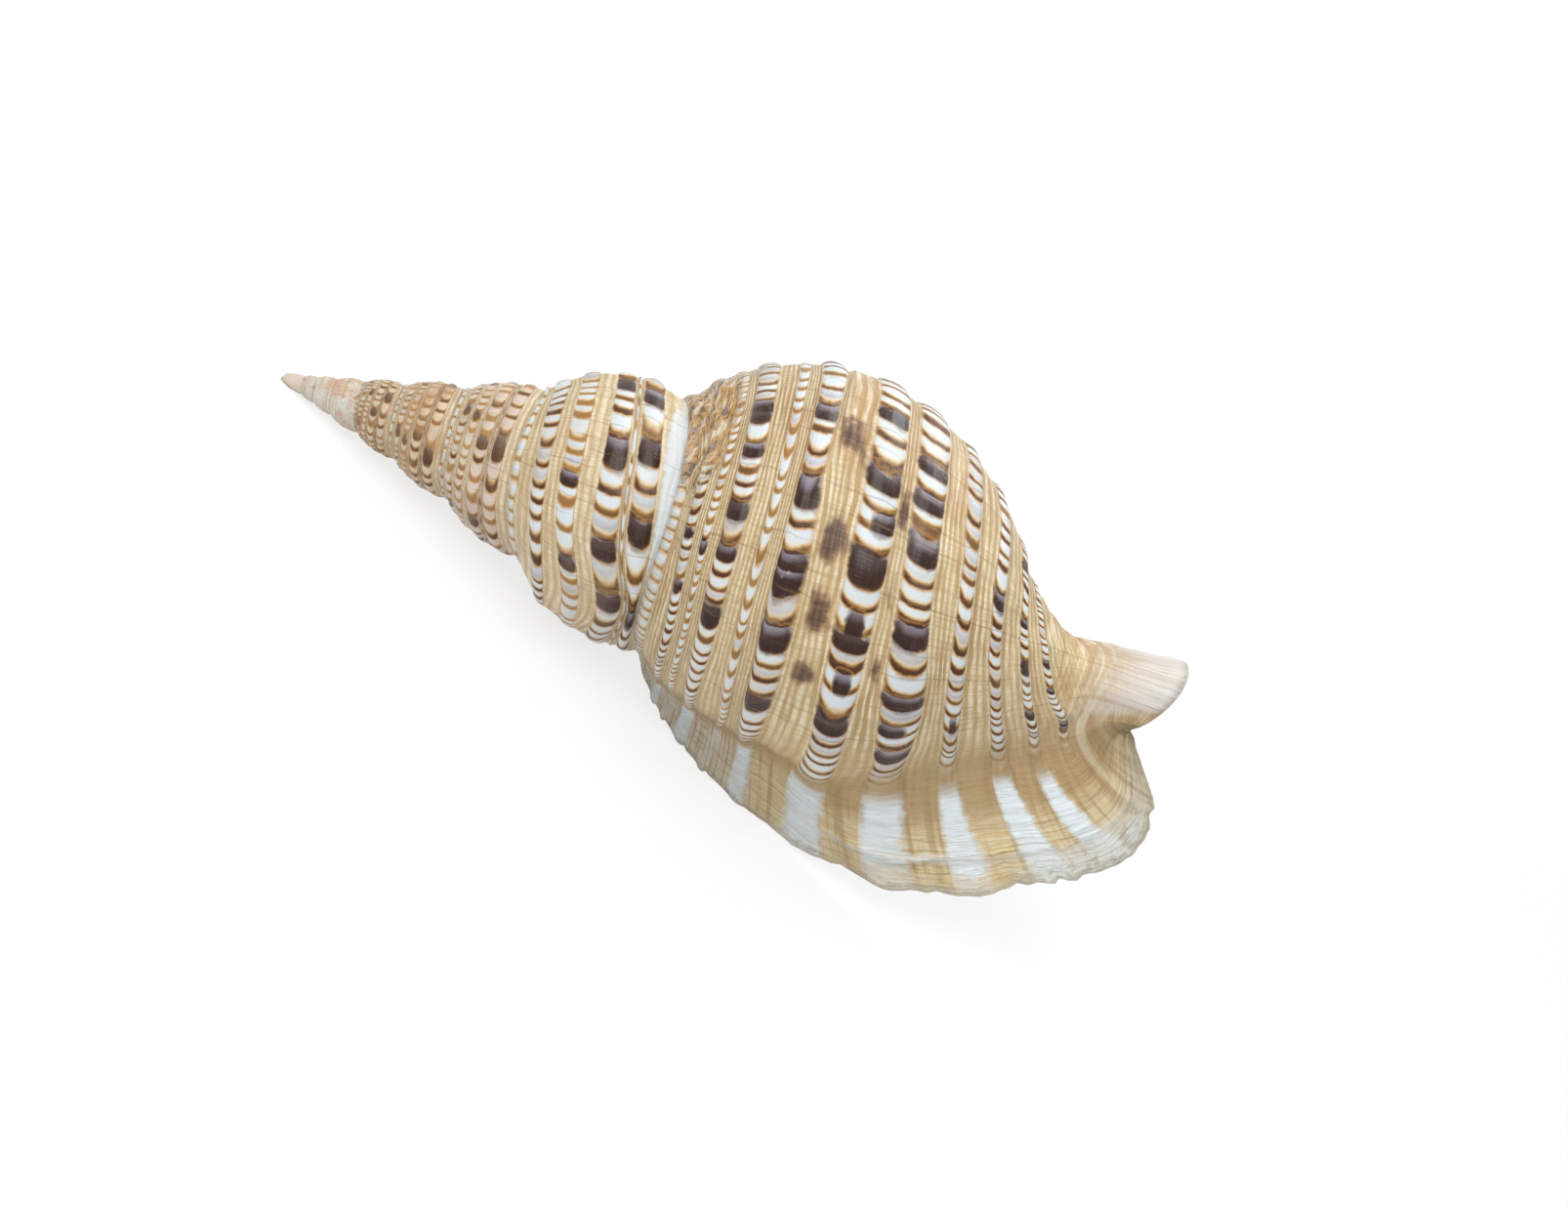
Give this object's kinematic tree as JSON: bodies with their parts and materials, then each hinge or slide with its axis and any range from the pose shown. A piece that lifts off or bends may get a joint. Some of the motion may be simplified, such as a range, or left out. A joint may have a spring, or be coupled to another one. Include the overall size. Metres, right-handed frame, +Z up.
{
  "type": "triton shell",
  "caption": "Large coiled sea snail shell with a tall pointed spire, rounded ribbed whorls, a flared outer lip and a short open canal, lying on its mouth.",
  "frame": {"origin": "bottom centre of the bounding box, on the surface that the shell lies on", "axes": "+X runs along the shell from the tip of the spire towards the canal, +Z is up; the mouth faces down and the flared lip lies towards -Y"},
  "size_m": [0.3226, 0.1248, 0.1342],
  "materials": {
    "shell": "glossy porcelain-like lime, cream ground with golden, chestnut and near-black crescents"
  },
  "bodies": {
    "root": {"shell": "shell"}
  },
  "joints": []
}
